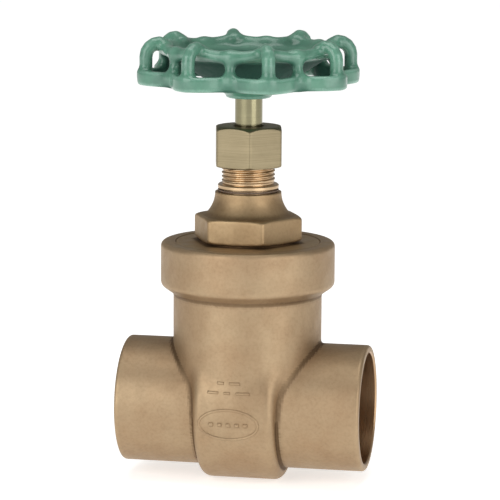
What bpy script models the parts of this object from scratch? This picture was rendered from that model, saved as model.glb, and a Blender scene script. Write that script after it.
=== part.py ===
"""A bronze gate valve with solder cups, a screwed bonnet and a stem that turns without rising.

The origin is where the pipe axis (X) meets the stem axis (Z). The gate is closed at rest.
"""

import math

import bmesh
import bpy
from mathutils import Matrix

MM = 0.001
GAP = 0.3 * MM  # clearance between pieces that touch or seal

# Pipe side: solder cups for 1-1/2 inch copper tube.
HALF_LENGTH = 45.8 * MM
CUP_RADIUS = 20.7 * MM
CUP_DEPTH = 27.7 * MM
SOCKET_RADIUS = 23.5 * MM
SOCKET_EDGE = 1.2 * MM
PORT_RADIUS = 18.6 * MM

# Body.
CHAMBER_RADIUS = 27.6 * MM
CHAMBER_BORE = 23.6 * MM
CHAMBER_FOOT_Z = -1.3 * MM
BELLY_RADIUS = 28.1 * MM
BELLY_HALF_WIDTH = 15.2 * MM
BELLY_EDGE = 4.2 * MM
BELLY_BORE = 24.3 * MM
SLOT_HALF_WIDTH = 11.4 * MM
SLOT_RADIUS = 24.1 * MM
SLOT_FOOT_Z = -0.7 * MM
SHOULDER_Z = 27.0 * MM
COLLAR_RADIUS = 32.3 * MM
COLLAR_EDGE = 1.8 * MM
COLLAR_BEVEL_Z = 42.0 * MM
COLLAR_BOTTOM_Z = 45.4 * MM
COLLAR_TOP_Z = 61.4 * MM
COLLAR_THREAD_RADIUS = 26.9 * MM
LEDGE_Z = 45.9 * MM
GUIDE_HALF_WIDTH = 2.1 * MM
GUIDE_INNER_Y = 18.8 * MM
GUIDE_BOTTOM_Z = -8 * MM
GUIDE_TOP_Z = 44.0 * MM

# Gate.
WEDGE_RADIUS = 21.3 * MM
WEDGE_HALF_THICKNESS = 9.0 * MM
WEDGE_ANGLE = math.radians(5)
WEDGE_BOSS_RADIUS = 8.2 * MM
WEDGE_BOSS_Z = 31.0 * MM
WEDGE_BORE_BOTTOM_Z = -19.5 * MM
SEAT_RADIUS = 21.0 * MM
SEAT_OUTER_X = 14.4 * MM

# Bonnet.
SKIRT_RADIUS = COLLAR_THREAD_RADIUS - 0.4 * MM
SKIRT_BORE = 23.0 * MM
GASKET_THICKNESS = 1.0 * MM
BONNET_FACE_Z = COLLAR_TOP_Z - 0.2 * MM
BONNET_HEX_FLATS = 36.0 * MM
BONNET_HEX_Z = (62.1 * MM, 71.2 * MM)
BONNET_HEX_TURN = math.radians(26)
BONNET_TOP_Z = 80.0 * MM
BONNET_TOP_RADIUS = 12.3 * MM
BONNET_FOOT_RADII = (16.4 * MM, 17.0 * MM)  # under the hexagon, and where that meets the face
BONNET_FLARE = ((12.7 * MM, 76.8 * MM), (13.6 * MM, 73.9 * MM), (15.2 * MM, 71.9 * MM))
BONNET_DOME = ((SKIRT_BORE, 51.0 * MM), (19.0 * MM, 57.0 * MM))  # inside, over the gate's travel
BONNET_THROAT_Z = 62.0 * MM
BONNET_HEX_HOLLOW = 14.0 * MM
STEM_LEDGE_Z = 73.4 * MM
STEM_LEDGE_THICKNESS = 1.4 * MM

# Stem.
STEM_RADIUS = 5.1 * MM
STEM_THREAD_RADIUS = 5.0 * MM
STEM_BOTTOM_Z = 21.0 * MM
STEM_COLLAR_RADIUS = 8.6 * MM
STEM_COLLAR_HEIGHT = 2.7 * MM
STEM_SQUARE = 7.2 * MM
STEM_SQUARE_Z = (115.6 * MM, 123.6 * MM)
STEM_TIP_RADIUS = 3.5 * MM
STEM_TOP_Z = 130.8 * MM

# Stuffing box and its packing.
BOX_THREAD_RADIUS = 10.5 * MM
BOX_NECK_RADIUS = 9.9 * MM
BOX_FLANGE_RADIUS = 11.3 * MM
BOX_FLANGE_HEIGHT = 1.7 * MM
BOX_BORE = 8.0 * MM
BOX_SHOULDER_HEIGHT = 2.4 * MM
BOX_TOP_Z = 97.4 * MM
THIN_GASKET = 0.6 * MM
WASHER_THICKNESS = 0.9 * MM
PACKING_COUNT = 4
PACKING_HEIGHT = 2.9 * MM
GLAND_FLANGE_Z = 99.0 * MM
GLAND_FLANGE_HEIGHT = 2.0 * MM
NUT_FLATS = 24.0 * MM
NUT_Z = (89.4 * MM, 104.4 * MM)
NUT_TURN = math.radians(13)
NUT_ROOF = 2.9 * MM

# Handwheel.
LOBES = 8
LOBE_TURN = math.radians(21.6)
RIM_BOTTOM_Z = 119.9 * MM
RIM_BAND_HEIGHT = 5.4 * MM
RIM_BAND_WALL = 3.4 * MM
RIM_TIP_RADIUS = 41.3 * MM
RIM_VALLEY_RADIUS = 34.6 * MM
UPPER_RING_RADIUS = 31.2 * MM
UPPER_RING_TUBE = 2.0 * MM
UPPER_RING_VALLEY_Z = RIM_BOTTOM_Z + 12.4 * MM
UPPER_RING_RISE = 1.2 * MM
VALLEY_STRUT_RADIUS = 1.6 * MM
VALLEY_STRUT_INSET = 1.75 * MM
TIP_STRUT_RADIUS = 2.3 * MM
TIP_STRUT_INSET = 2.6 * MM
TIP_BEND_RADIUS = 5.2 * MM
TIP_BEND_Z = RIM_BOTTOM_Z + 10.5 * MM
STRUT_ROOT_DEPTH = 2 * MM
HUB_RADIUS = 8.4 * MM
HUB_Z = (114.8 * MM, 122.5 * MM)
DISH_WALL = 2.6 * MM
DISH_UNDERSIDE = (  # (radius, height over the rim's bottom), from the hub outwards
    (HUB_RADIUS - 2 * MM, -3.6 * MM),
    (HUB_RADIUS + 0.9 * MM, -3.4 * MM),
    (13.0 * MM, -0.3 * MM),
    (20.0 * MM, 4.1 * MM),
    (26.5 * MM, 8.2 * MM),
)
PLATE_RADIUS = 11.5 * MM
PLATE_THICKNESS = 0.6 * MM
LOCK_WASHER_RADIUS = 6.4 * MM
LOCK_WASHER_THICKNESS = 1.0 * MM
TIP_NUT_FLATS = 11.0 * MM
TIP_NUT_HEIGHT = 4.2 * MM
TIP_NUT_CHAMFERS = (0.3 * MM, 0.5 * MM)

ROUND = 48  # sides of a large turned piece
SMALL_ROUND = 28  # sides of a small one
BAR_RESOLUTION = 2  # extra steps in each half of a swept bar's outline

BRONZE = ("cast_bronze", (0.50, 0.33, 0.18), 0.55, 0.9)
BRASS = ("machined_brass", (0.60, 0.47, 0.24), 0.3, 1.0)
ENAMEL = ("green_enamel", (0.10, 0.36, 0.22), 0.3, 0.0)
FIBRE = ("gasket_fibre", (0.12, 0.11, 0.10), 0.9, 0.0)
GRAPHITE = ("packing_graphite", (0.06, 0.06, 0.06), 0.7, 0.0)
ALUMINIUM = ("plate_aluminium", (0.75, 0.75, 0.76), 0.35, 1.0)
STEEL = ("plated_steel", (0.66, 0.66, 0.64), 0.3, 1.0)


def clear_scene():
    for obj in list(bpy.data.objects):
        bpy.data.objects.remove(obj)


def collection(name, rendered=True):
    made = bpy.data.collections.new(name)
    made.hide_render = not rendered
    bpy.context.scene.collection.children.link(made)
    return made


def material(finish):
    name, colour, roughness, metallic = finish
    made = bpy.data.materials.get(name)
    if made is None:
        made = bpy.data.materials.new(name)
        made.use_nodes = True
        shader = made.node_tree.nodes["Principled BSDF"]
        shader.inputs["Base Color"].default_value = (*colour, 1)
        shader.inputs["Roughness"].default_value = roughness
        shader.inputs["Metallic"].default_value = metallic
    return made


class Workshop:
    """Where new objects go, and the empties that moving pieces hang from."""

    def __init__(self):
        self.parts = collection("gate_valve")
        self.cutters = collection("cutters", rendered=False)
        self.parents = {}

    def joint_empty(self, name, z=0.0):
        empty = bpy.data.objects.new(name, None)
        empty.location.z = z
        self.parts.objects.link(empty)
        self.parents[name] = empty
        return empty

    def part(self, name, mesh, finish, parent=None):
        obj = bpy.data.objects.new(name, mesh)
        mesh.materials.append(material(finish))
        self.parts.objects.link(obj)
        if parent is not None:
            obj.parent = self.parents[parent]
        return obj

    def helper(self, name, mesh):
        obj = bpy.data.objects.new(name, mesh)
        obj.hide_render = True
        obj.display_type = "WIRE"
        self.cutters.objects.link(obj)
        return obj

    def promote(self, obj, name, finish, parent=None):
        """Makes a part of what began as a helper."""
        obj.name = name
        obj.data.materials.append(material(finish))
        self.cutters.objects.unlink(obj)
        self.parts.objects.link(obj)
        obj.hide_render = False
        obj.display_type = "TEXTURED"
        if parent is not None:
            obj.parent = self.parents[parent]


def profile_mesh(name, points):
    """The outline of a turned shape as (radius, height) points, outer side from top to bottom."""
    mesh = bpy.data.meshes.new(name)
    count = len(points)
    touches_axis = points[0][0] == 0 and points[-1][0] == 0
    edges = [(i, i + 1) for i in range(count - 1)]
    if not touches_axis:
        edges.append((count - 1, 0))
    mesh.from_pydata([(r, 0, z) for r, z in points], edges, [])
    return mesh


def turn(obj, sides=SMALL_ROUND, along_x=False):
    screw = obj.modifiers.new("Turn", "SCREW")
    screw.axis = "Z"
    screw.steps = screw.render_steps = sides
    screw.use_merge_vertices = True
    screw.merge_threshold = 0.00001
    screw.use_smooth_shade = True
    if along_x:
        obj.rotation_euler.y = math.pi / 2
    return obj


def box_mesh(name, low, high):
    made = bmesh.new()
    bmesh.ops.create_cube(made, size=1)
    size = [b - a for a, b in zip(low, high)]
    middle = [(a + b) / 2 for a, b in zip(low, high)]
    bmesh.ops.scale(made, verts=made.verts, vec=size)
    bmesh.ops.translate(made, verts=made.verts, vec=middle)
    mesh = bpy.data.meshes.new(name)
    made.to_mesh(mesh)
    made.free()
    return mesh


def prism_mesh(name, sides, flats, z_range, turned=0.0):
    """An upright prism by its distance across flats, with its first corner turned from +X."""
    made = bmesh.new()
    radius = flats / 2 / math.cos(math.pi / sides)
    height = z_range[1] - z_range[0]
    bmesh.ops.create_cone(
        made, cap_ends=True, segments=sides, radius1=radius, radius2=radius, depth=height
    )
    bmesh.ops.rotate(made, verts=made.verts, matrix=Matrix.Rotation(turned, 3, "Z"))
    bmesh.ops.translate(made, verts=made.verts, vec=(0, 0, sum(z_range) / 2))
    mesh = bpy.data.meshes.new(name)
    made.to_mesh(mesh)
    made.free()
    return mesh


def combine(obj, other, operation):
    boolean = obj.modifiers.new(other.name, "BOOLEAN")
    boolean.operation = operation
    boolean.object = other
    return boolean


def wedge_face_x(z, half_thickness=WEDGE_HALF_THICKNESS):
    return half_thickness + z * math.tan(WEDGE_ANGLE)


def ring(radius_in, radius_out, z_low, z_high):
    """The outline of a plain washer."""
    return [(radius_out, z_high), (radius_out, z_low), (radius_in, z_low), (radius_in, z_high)]


def disc(radius, z_low, z_high):
    """The outline of a solid round bar."""
    return [(0, z_high), (radius, z_high), (radius, z_low), (0, z_low)]


def edge_arc(centre, radius, start, end, steps=4):
    """Points of a rounded edge in the (radius, height) plane, angles in degrees."""
    angles = [math.radians(start + (end - start) * i / steps) for i in range(steps + 1)]
    return [
        (centre[0] + radius * math.cos(a), centre[1] + radius * math.sin(a)) for a in angles
    ]


def make_body(shop):
    collar_edge = (COLLAR_RADIUS - COLLAR_EDGE, COLLAR_TOP_Z - COLLAR_EDGE)
    chamber = [
        (0, COLLAR_TOP_Z),
        *edge_arc(collar_edge, COLLAR_EDGE, 90, 0, 3),
        (COLLAR_RADIUS, COLLAR_BOTTOM_Z),
        (CHAMBER_RADIUS, COLLAR_BEVEL_Z),
        (CHAMBER_RADIUS, CHAMBER_FOOT_Z),
        (0, CHAMBER_FOOT_Z),
    ]
    body = turn(shop.part("body", profile_mesh("body", chamber), BRONZE), ROUND)

    for name, radius, half_width, edge in (
        ("sockets", SOCKET_RADIUS, HALF_LENGTH, SOCKET_EDGE),
        ("belly", BELLY_RADIUS, BELLY_HALF_WIDTH, BELLY_EDGE),
    ):
        outline = [
            (0, half_width),
            *edge_arc((radius - edge, half_width - edge), edge, 90, 0, 3),
            *edge_arc((radius - edge, edge - half_width), edge, 0, -90, 3),
            (0, -half_width),
        ]
        solid = turn(shop.helper(name, profile_mesh(name, outline)), ROUND, along_x=True)
        combine(body, solid, "UNION")

    over = 1 * MM
    bore = [
        (0, COLLAR_TOP_Z + over),
        (COLLAR_THREAD_RADIUS, COLLAR_TOP_Z + over),
        (COLLAR_THREAD_RADIUS, LEDGE_Z),
        (CHAMBER_BORE, LEDGE_Z),
        (CHAMBER_BORE, SHOULDER_Z),
        (0, SHOULDER_Z),
    ]
    combine(body, turn(shop.helper("bore", profile_mesh("bore", bore)), ROUND), "DIFFERENCE")

    slot_outline = disc(SLOT_RADIUS, SLOT_FOOT_Z, SHOULDER_Z + over)
    slot = turn(shop.helper("slot", profile_mesh("slot", slot_outline)), ROUND)
    slot_walls = shop.helper(
        "slot_walls",
        box_mesh(
            "slot_walls",
            (-SLOT_HALF_WIDTH, -CHAMBER_RADIUS, SLOT_FOOT_Z - over),
            (SLOT_HALF_WIDTH, CHAMBER_RADIUS, SHOULDER_Z + 2 * over),
        ),
    )
    combine(slot, slot_walls, "INTERSECT")
    combine(body, slot, "DIFFERENCE")

    cup_bottom = HALF_LENGTH - CUP_DEPTH
    pocket = SEAT_OUTER_X + GAP
    passage = [
        (0, HALF_LENGTH + over),
        (CUP_RADIUS, HALF_LENGTH + over),
        (CUP_RADIUS, cup_bottom),
        (PORT_RADIUS, cup_bottom),
        (PORT_RADIUS, pocket),
        (SEAT_RADIUS + GAP, pocket),
        (SEAT_RADIUS + GAP, SLOT_HALF_WIDTH),
        (BELLY_BORE, SLOT_HALF_WIDTH),
    ]
    passage += [(r, -z) for r, z in reversed(passage)]
    passage_cutter = turn(
        shop.helper("passage", profile_mesh("passage", passage)), ROUND, along_x=True
    )
    combine(body, passage_cutter, "DIFFERENCE")

    for side in (-1, 1):
        y_range = sorted((side * GUIDE_INNER_Y, side * (CHAMBER_RADIUS - 1.5 * MM)))
        guide = shop.helper(
            f"guide_{side}",
            box_mesh(
                f"guide_{side}",
                (-GUIDE_HALF_WIDTH, y_range[0], GUIDE_BOTTOM_Z),
                (GUIDE_HALF_WIDTH, y_range[1], GUIDE_TOP_Z),
            ),
        )
        combine(body, guide, "UNION")


def make_seats(shop):
    inner_x = wedge_face_x(0) + GAP
    for side, name in ((-1, "seat_ring_left"), (1, "seat_ring_right")):
        outline = ring(PORT_RADIUS, SEAT_RADIUS, inner_x / 2, SEAT_OUTER_X)
        seat = shop.part(name, profile_mesh(name, outline), BRONZE)
        turn(seat, ROUND, along_x=True)
        if side < 0:
            seat.rotation_euler.y = -math.pi / 2
        reach = 2 * SEAT_RADIUS
        cutter = shop.helper(
            f"{name}_taper", box_mesh(name, (-reach, -reach, -reach), (0, reach, reach))
        )
        cutter.location.x = side * inner_x
        cutter.rotation_euler.y = side * WEDGE_ANGLE + (0 if side > 0 else math.pi)
        combine(seat, cutter, "DIFFERENCE")


def make_gate(shop):
    outline = disc(WEDGE_RADIUS, -2 * WEDGE_HALF_THICKNESS, 2 * WEDGE_HALF_THICKNESS)
    wedge = shop.part("wedge", profile_mesh("wedge", outline), BRONZE, "gate_lift")
    turn(wedge, ROUND, along_x=True)
    boss = turn(
        shop.helper("boss", profile_mesh("boss", disc(WEDGE_BOSS_RADIUS, 0, WEDGE_BOSS_Z)))
    )
    reach = 3 * WEDGE_RADIUS
    for side in (-1, 1):
        cutter = shop.helper(
            f"wedge_taper_{side}", box_mesh("taper", (0, -reach, -reach), (reach, reach, reach))
        )
        cutter.location.x = side * WEDGE_HALF_THICKNESS
        cutter.rotation_euler.y = side * WEDGE_ANGLE + (0 if side > 0 else math.pi)
        combine(wedge, cutter, "DIFFERENCE")
    combine(wedge, boss, "UNION")
    bore = disc(STEM_THREAD_RADIUS + GAP, WEDGE_BORE_BOTTOM_Z, WEDGE_BOSS_Z + 1 * MM)
    combine(wedge, turn(shop.helper("wedge_bore", profile_mesh("wedge_bore", bore))), "DIFFERENCE")
    for side in (-1, 1):
        y_range = sorted((side * (GUIDE_INNER_Y - 0.4 * MM), side * 2 * WEDGE_RADIUS))
        groove = shop.helper(
            f"wedge_groove_{side}",
            box_mesh(
                "groove",
                (-GUIDE_HALF_WIDTH - 0.4 * MM, y_range[0], -reach),
                (GUIDE_HALF_WIDTH + 0.4 * MM, y_range[1], reach),
            ),
        )
        combine(wedge, groove, "DIFFERENCE")


def chamfered_hexagon(shop, name, flats, z_range, turned, chamfers):
    """A hexagon prism whose corners are cut back by turned chamfers at the bottom and top."""
    prism = shop.helper(f"{name}_hexagon", prism_mesh(name, 6, flats, z_range, turned))
    corner = flats / 2 / math.cos(math.pi / 6)
    low, high = z_range
    over = 1 * MM
    outline = [(0, high + over)]
    for chamfer, z, way in ((chamfers[1], high, 1), (chamfers[0], low, -1)):
        rim = [(corner - chamfer - 1.7 * over, z + way * over), (corner + over, z - way * chamfer)]
        outline += rim if way > 0 else reversed(rim)
    outline.append((0, low - over))
    envelope = turn(
        shop.helper(f"{name}_envelope", profile_mesh(f"{name}_envelope", outline)), ROUND
    )
    combine(prism, envelope, "INTERSECT")
    return prism


def make_bonnet(shop):
    skirt_z = LEDGE_Z + GASKET_THICKNESS + 2 * GAP
    low, high = BONNET_HEX_Z
    foot, face_foot = BONNET_FOOT_RADII
    boss_room = WEDGE_BOSS_RADIUS + 1.0 * MM
    stem_room = STEM_THREAD_RADIUS + 0.4 * MM
    outline = [
        (BONNET_TOP_RADIUS, BONNET_TOP_Z),
        *BONNET_FLARE,
        (foot, high - GAP),
        (foot, low),
        (face_foot, BONNET_FACE_Z),
        (SKIRT_RADIUS, BONNET_FACE_Z),
        (SKIRT_RADIUS, skirt_z),
        (SKIRT_BORE, skirt_z),
        *BONNET_DOME,
        (boss_room, BONNET_THROAT_Z),
        (boss_room, STEM_LEDGE_Z - STEM_LEDGE_THICKNESS),
        (stem_room, STEM_LEDGE_Z - STEM_LEDGE_THICKNESS),
        (stem_room, STEM_LEDGE_Z),
        (BOX_THREAD_RADIUS + GAP, STEM_LEDGE_Z),
        (BOX_THREAD_RADIUS + GAP, BONNET_TOP_Z),
    ]
    bonnet = shop.part("bonnet", profile_mesh("bonnet", outline), BRONZE)
    turn(bonnet, ROUND)
    hexagon = chamfered_hexagon(
        shop, "bonnet", BONNET_HEX_FLATS, BONNET_HEX_Z, BONNET_HEX_TURN, (0.6 * MM, 0.9 * MM)
    )
    hollow = disc(BONNET_HEX_HOLLOW, low - 2 * MM, high + 2 * MM)
    hollow_cutter = turn(shop.helper("bonnet_hollow", profile_mesh("bonnet_hollow", hollow)))
    combine(hexagon, hollow_cutter, "DIFFERENCE")
    combine(bonnet, hexagon, "UNION")

    gasket_z = LEDGE_Z + GAP
    gasket = ring(
        CHAMBER_BORE + GAP, SKIRT_RADIUS - 0.1 * MM, gasket_z, gasket_z + GASKET_THICKNESS
    )
    turn(shop.part("bonnet_gasket", profile_mesh("bonnet_gasket", gasket), FIBRE))


def make_stuffing_box(shop):
    """The box that screws into the bonnet over the stem's collar, and all that it holds."""
    washer_z = STEM_LEDGE_Z + GAP + STEM_COLLAR_HEIGHT + GAP
    shoulder_z = washer_z + WASHER_THICKNESS + GAP
    floor_z = shoulder_z + BOX_SHOULDER_HEIGHT
    gasket_z = BONNET_TOP_Z + GAP
    flange_z = gasket_z + THIN_GASKET + GAP
    stem_hole = STEM_RADIUS + GAP
    outline = [
        (BOX_BORE, BOX_TOP_Z),
        (BOX_NECK_RADIUS, BOX_TOP_Z),
        (BOX_NECK_RADIUS, flange_z + BOX_FLANGE_HEIGHT + 0.8 * MM),
        (BOX_FLANGE_RADIUS, flange_z + BOX_FLANGE_HEIGHT - 0.4 * MM),
        (BOX_FLANGE_RADIUS, flange_z),
        (BOX_THREAD_RADIUS, flange_z),
        (BOX_THREAD_RADIUS, STEM_LEDGE_Z + GAP),
        (STEM_COLLAR_RADIUS + GAP, STEM_LEDGE_Z + GAP),
        (STEM_COLLAR_RADIUS + GAP, shoulder_z),
        (stem_hole, shoulder_z),
        (stem_hole, floor_z),
        (BOX_BORE, floor_z),
    ]
    box = shop.part("stuffing_box", profile_mesh("stuffing_box", outline), BRONZE)
    turn(box)

    rings = [
        (
            "stuffing_box_gasket",
            ring(BOX_THREAD_RADIUS + GAP, BOX_FLANGE_RADIUS, gasket_z, gasket_z + THIN_GASKET),
            FIBRE,
        ),
        (
            "thrust_washer",
            ring(stem_hole, STEM_COLLAR_RADIUS, washer_z, washer_z + WASHER_THICKNESS),
            BRASS,
        ),
        (
            "packing_washer",
            ring(stem_hole, BOX_BORE - GAP, floor_z + GAP, floor_z + GAP + WASHER_THICKNESS),
            BRASS,
        ),
    ]
    z = floor_z + WASHER_THICKNESS + 2 * GAP
    for number in range(1, PACKING_COUNT + 1):
        outline = ring(stem_hole, BOX_BORE - GAP, z, z + PACKING_HEIGHT)
        rings.append((f"packing_ring_{number}", outline, GRAPHITE))
        z += PACKING_HEIGHT + GAP
    gland = [
        (stem_hole, GLAND_FLANGE_Z + GLAND_FLANGE_HEIGHT),
        (BOX_NECK_RADIUS - 0.3 * MM, GLAND_FLANGE_Z + GLAND_FLANGE_HEIGHT),
        (BOX_NECK_RADIUS - 0.3 * MM, GLAND_FLANGE_Z),
        (BOX_BORE - GAP, GLAND_FLANGE_Z),
        (BOX_BORE - GAP, z),
        (stem_hole, z),
    ]
    rings.append(("packing_gland", gland, BRASS))
    for name, outline, finish in rings:
        turn(shop.part(name, profile_mesh(name, outline), finish))


def make_packing_nut(shop):
    low, high = NUT_Z
    ceiling = high - NUT_ROOF
    nut = chamfered_hexagon(
        shop, "packing_nut", NUT_FLATS, NUT_Z, NUT_TURN, (0.5 * MM, 1.1 * MM)
    )
    shop.promote(nut, "packing_nut", BRASS)
    thread_radius = BOX_NECK_RADIUS + GAP
    stem_hole = STEM_RADIUS + 0.5 * MM
    over = 1 * MM
    bore = [
        (0, high + over),
        (stem_hole, high + over),
        (stem_hole, ceiling),
        (thread_radius, ceiling),
        (thread_radius, low - over),
        (0, low - over),
    ]
    combine(nut, turn(shop.helper("nut_bore", profile_mesh("nut_bore", bore))), "DIFFERENCE")


def make_stem(shop):
    collar_z = STEM_LEDGE_Z + GAP
    lead_in = 0.8 * MM
    outline = [
        (0, STEM_TOP_Z),
        (STEM_TIP_RADIUS - lead_in, STEM_TOP_Z),
        (STEM_TIP_RADIUS, STEM_TOP_Z - lead_in),
        (STEM_TIP_RADIUS, STEM_SQUARE_Z[0] - 0.2 * MM),
        (STEM_RADIUS, STEM_SQUARE_Z[0] - 0.2 * MM),
        (STEM_RADIUS, collar_z + STEM_COLLAR_HEIGHT),
        (STEM_COLLAR_RADIUS, collar_z + STEM_COLLAR_HEIGHT),
        (STEM_COLLAR_RADIUS, collar_z),
        (STEM_THREAD_RADIUS, collar_z),
        (STEM_THREAD_RADIUS, STEM_BOTTOM_Z + lead_in),
        (STEM_THREAD_RADIUS - lead_in, STEM_BOTTOM_Z),
        (0, STEM_BOTTOM_Z),
    ]
    stem = shop.part("stem", profile_mesh("stem", outline), BRASS, "stem_turn")
    turn(stem)
    z_range = (STEM_SQUARE_Z[0] - 1 * MM, STEM_SQUARE_Z[1])
    square = shop.helper("stem_square", prism_mesh("stem_square", 4, STEM_SQUARE, z_range))
    combine(stem, square, "UNION")


def rim_radius(angle, inset=0.0):
    """The lobed outline of the rim's lower band, with rounded tips and shallow valleys."""
    middle = (RIM_TIP_RADIUS + RIM_VALLEY_RADIUS) / 2
    swing = (RIM_TIP_RADIUS - RIM_VALLEY_RADIUS) / 2
    return middle + swing * math.cos(LOBES * angle) - inset


def wheel_point(angle, radius, z):
    """A point on the wheel, its angle counted from the middle of a lobe."""
    turned = angle + LOBE_TURN - math.pi / 2
    return (radius * math.cos(turned), radius * math.sin(turned), z)


def swept_mesh(name, points, radius, cyclic=False):
    """A round bar along points, as a closed mesh."""
    curve = bpy.data.curves.new(name, "CURVE")
    curve.dimensions = "3D"
    curve.bevel_depth = radius
    curve.bevel_resolution = BAR_RESOLUTION
    curve.use_fill_caps = True
    spline = curve.splines.new("POLY")
    spline.points.add(len(points) - 1)
    for point, place in zip(spline.points, points):
        point.co = (*place, 1)
    spline.use_cyclic_u = cyclic
    guide = bpy.data.objects.new(name, curve)
    bpy.context.scene.collection.objects.link(guide)
    graph = bpy.context.evaluated_depsgraph_get()
    mesh = bpy.data.meshes.new_from_object(guide.evaluated_get(graph))
    bpy.data.objects.remove(guide)
    welded = bmesh.new()
    welded.from_mesh(mesh)
    bmesh.ops.remove_doubles(welded, verts=welded.verts, dist=0.00001)
    bmesh.ops.recalc_face_normals(welded, faces=welded.faces)
    bmesh.ops.triangulate(welded, faces=welded.faces)
    welded.to_mesh(mesh)
    welded.free()
    return mesh


def band_mesh():
    """The rim's lower band: the lobed outline with a constant wall, loft between its two edges."""
    made = bmesh.new()
    count = LOBES * 12
    rows = []
    corners = ((0, 0), (0, RIM_BAND_HEIGHT), (RIM_BAND_WALL, RIM_BAND_HEIGHT), (RIM_BAND_WALL, 0))
    for inset, height in corners:
        places = []
        for i in range(count):
            angle = 2 * math.pi * i / count
            places.append(wheel_point(angle, rim_radius(angle, inset), RIM_BOTTOM_Z + height))
        rows.append([made.verts.new(place) for place in places])
    for row, above in zip(rows, rows[1:] + rows[:1]):
        for i in range(count):
            after = (i + 1) % count
            made.faces.new((row[i], row[after], above[after], above[i]))
    bmesh.ops.recalc_face_normals(made, faces=made.faces)
    bmesh.ops.triangulate(made, faces=made.faces)
    mesh = bpy.data.meshes.new("handwheel")
    made.to_mesh(mesh)
    made.free()
    return mesh


def upper_ring_z(angle):
    lift = 0.5 + 0.5 * math.cos(LOBES * angle)
    return UPPER_RING_VALLEY_Z + UPPER_RING_RISE * lift**2


def tip_strut_route(angle):
    """Up from the band at a lobe, over in a knuckle and down into the upper ring."""
    foot = rim_radius(angle, TIP_STRUT_INSET)
    bend_centre = (foot - TIP_BEND_RADIUS, TIP_BEND_Z)
    outline = [(foot, RIM_BOTTOM_Z + RIM_BAND_HEIGHT - STRUT_ROOT_DEPTH)]
    outline += edge_arc(bend_centre, TIP_BEND_RADIUS, 0, 90)
    outline.append((UPPER_RING_RADIUS, upper_ring_z(angle)))
    return [wheel_point(angle, radius, z) for radius, z in outline]


def valley_strut_route(angle):
    foot = rim_radius(angle, VALLEY_STRUT_INSET)
    return [
        wheel_point(angle, foot, RIM_BOTTOM_Z + RIM_BAND_HEIGHT - STRUT_ROOT_DEPTH),
        wheel_point(angle, UPPER_RING_RADIUS, upper_ring_z(angle)),
    ]


def dish_outline():
    """The bowl-shaped web between the hub and the upper ring."""
    under = [(radius, RIM_BOTTOM_Z + height) for radius, height in DISH_UNDERSIDE]
    under.append((UPPER_RING_RADIUS - 0.6 * MM, UPPER_RING_VALLEY_Z - DISH_WALL / 2))
    return [(radius, z + DISH_WALL) for radius, z in reversed(under)] + under


def make_handwheel(shop):
    wheel = shop.part("handwheel", band_mesh(), ENAMEL, "stem_turn")
    count = LOBES * 8
    ring_points = []
    for i in range(count):
        angle = 2 * math.pi * i / count
        ring_points.append(wheel_point(angle, UPPER_RING_RADIUS, upper_ring_z(angle)))
    pieces = [swept_mesh("upper_ring", ring_points, UPPER_RING_TUBE, cyclic=True)]
    for i in range(LOBES):
        tip = 2 * math.pi * i / LOBES
        valley = tip + math.pi / LOBES
        pieces.append(swept_mesh(f"tip_strut_{i}", tip_strut_route(tip), TIP_STRUT_RADIUS))
        pieces.append(
            swept_mesh(f"valley_strut_{i}", valley_strut_route(valley), VALLEY_STRUT_RADIUS)
        )
    hub = [
        (0, HUB_Z[1]),
        (HUB_RADIUS, HUB_Z[1]),
        (HUB_RADIUS, HUB_Z[0] + 0.8 * MM),
        (HUB_RADIUS - 0.8 * MM, HUB_Z[0]),
        (0, HUB_Z[0]),
    ]
    wheel_pieces = collection("wheel_pieces", rendered=False)
    helpers = [turn(shop.helper("hub", profile_mesh("hub", hub)))]
    helpers.append(turn(shop.helper("dish", profile_mesh("dish", dish_outline())), ROUND))
    helpers += [shop.helper(mesh.name, mesh) for mesh in pieces]
    for helper in helpers:
        wheel_pieces.objects.link(helper)
    union = wheel.modifiers.new("Pieces", "BOOLEAN")
    union.operation = "UNION"
    union.operand_type = "COLLECTION"
    union.collection = wheel_pieces
    z_range = (HUB_Z[0] - 1 * MM, HUB_Z[1] + 1 * MM)
    hole = shop.helper("hub_hole", prism_mesh("hole", 4, STEM_SQUARE + 2 * GAP, z_range))
    combine(wheel, hole, "DIFFERENCE")
    recess = disc(STEM_RADIUS + GAP, z_range[0], STEM_SQUARE_Z[0] + GAP)
    seat = turn(shop.helper("hub_seat", profile_mesh("hub_seat", recess)))
    combine(wheel, seat, "DIFFERENCE")


def make_wheel_fasteners(shop):
    clear = STEM_SQUARE / math.sqrt(2) + GAP
    plate_z = HUB_Z[1] + GAP
    plate = ring(clear, PLATE_RADIUS, plate_z, plate_z + PLATE_THICKNESS)
    turn(shop.part("id_plate", profile_mesh("id_plate", plate), ALUMINIUM, "stem_turn"))
    washer_z = plate_z + PLATE_THICKNESS + 2 * GAP
    washer_top = washer_z + LOCK_WASHER_THICKNESS
    washer = ring(STEM_TIP_RADIUS + GAP, LOCK_WASHER_RADIUS, washer_z, washer_top)
    turn(shop.part("lock_washer", profile_mesh("lock_washer", washer), STEEL, "stem_turn"))
    nut_z = washer_top + GAP
    nut_range = (nut_z, nut_z + TIP_NUT_HEIGHT)
    nut = chamfered_hexagon(shop, "handwheel_nut", TIP_NUT_FLATS, nut_range, 0, TIP_NUT_CHAMFERS)
    shop.promote(nut, "handwheel_nut", BRASS, "stem_turn")
    hole = disc(STEM_TIP_RADIUS + GAP, nut_z - 1 * MM, nut_z + TIP_NUT_HEIGHT + 1 * MM)
    combine(nut, turn(shop.helper("tip_hole", profile_mesh("tip_hole", hole))), "DIFFERENCE")


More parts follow.
